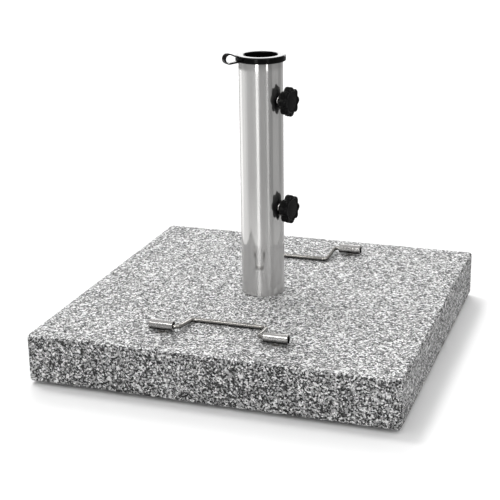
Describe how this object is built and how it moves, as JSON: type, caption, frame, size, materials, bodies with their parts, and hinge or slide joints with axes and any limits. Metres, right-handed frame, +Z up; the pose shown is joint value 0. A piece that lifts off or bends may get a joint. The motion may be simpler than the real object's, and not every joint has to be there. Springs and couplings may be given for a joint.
{
  "type": "parasol base",
  "caption": "Square granite parasol base with a steel tube, reducer collar, clamping star knobs and folding carry handles.",
  "frame": {"origin": "on the floor, under the middle of the slab, 5.5 mm to the right of the tube's axis, at the underside of the feet", "axes": "+Z up along the tube, +X to the right along the slab's front edge, +Y towards the slab's back edge"},
  "size_m": [0.5, 0.5, 0.4115],
  "materials": {
    "granite": "speckled light grey granite, honed top and sawn, lightly flamed sides",
    "tube_steel": "stainless steel tube, polished along its length",
    "wire_steel": "stainless steel wire, satin",
    "bright_steel": "turned stainless steel",
    "zinc_steel": "bright zinc-plated steel",
    "collar_plastic": "glossy black moulded plastic",
    "knob_plastic": "black moulded plastic with a fine satin grain",
    "nylon": "natural nylon",
    "resin": "cast setting resin",
    "rubber": "matt black rubber"
  },
  "bodies": {
    "base": {"granite_slab": "granite", "front_left_foot": "rubber", "front_right_foot": "rubber", "back_left_foot": "rubber", "back_right_foot": "rubber", "ground_tube": "tube_steel", "tube_base_plate": "zinc_steel", "base_nut": "zinc_steel", "centre_bolt": "zinc_steel", "spring_washer": "zinc_steel", "plate_washer": "zinc_steel", "upper_knob_bush": "bright_steel", "lower_knob_bush": "bright_steel", "front_left_sleeve": "bright_steel", "front_right_sleeve": "bright_steel", "back_left_sleeve": "bright_steel", "back_right_sleeve": "bright_steel", "front_left_anchor": "bright_steel", "front_right_anchor": "bright_steel", "back_left_anchor": "bright_steel", "back_right_anchor": "bright_steel", "front_left_resin": "resin", "front_right_resin": "resin", "back_left_resin": "resin", "back_right_resin": "resin"},
    "collar": {"reducer_collar": "collar_plastic"},
    "upper_pad": {"upper_knob_pad": "nylon"},
    "upper_knob": {"upper_knob_head": "knob_plastic", "upper_knob_stud": "zinc_steel"},
    "lower_pad": {"lower_knob_pad": "nylon"},
    "lower_knob": {"lower_knob_head": "knob_plastic", "lower_knob_stud": "zinc_steel"},
    "front_handle": {"front_handle": "wire_steel"},
    "back_handle": {"back_handle": "wire_steel"}
  },
  "joints": [
    {"name": "collar_lift", "type": "slide", "parent": "base", "child": "collar", "axis": [0, 0, 1], "range_m": [0, 0.034]},
    {"name": "upper_knob_travel", "type": "slide", "parent": "base", "child": "upper_pad", "axis": [0.9744, -0.225, 0], "range_m": [-0.00189, 0.00352]},
    {"name": "upper_knob_turn", "type": "hinge", "parent": "upper_pad", "child": "upper_knob", "pos_m": [0.02656, -0.0074, 0.3455], "axis": [0.9744, -0.225, 0], "range_deg": [-540, 1008]},
    {"name": "lower_knob_travel", "type": "slide", "parent": "base", "child": "lower_pad", "axis": [0.9744, -0.225, 0], "range_m": [-0.00189, 0.00352]},
    {"name": "lower_knob_turn", "type": "hinge", "parent": "lower_pad", "child": "lower_knob", "pos_m": [0.02656, -0.0074, 0.196], "axis": [0.9744, -0.225, 0], "range_deg": [-540, 1008]},
    {"name": "front_handle_fold", "type": "hinge", "parent": "base", "child": "front_handle", "pos_m": [-0.0055, -0.185, 0.0784], "axis": [1, 0, 0], "range_deg": [0, 165.9]},
    {"name": "back_handle_fold", "type": "hinge", "parent": "base", "child": "back_handle", "pos_m": [-0.0055, 0.185, 0.0784], "axis": [-1, 0, 0], "range_deg": [0, 165.9]}
  ],
  "couplings": [
    {"joint": "upper_knob_travel", "follows": "upper_knob_turn", "m_per_rad": 0.00019894},
    {"joint": "lower_knob_travel", "follows": "lower_knob_turn", "m_per_rad": 0.00019894}
  ]
}
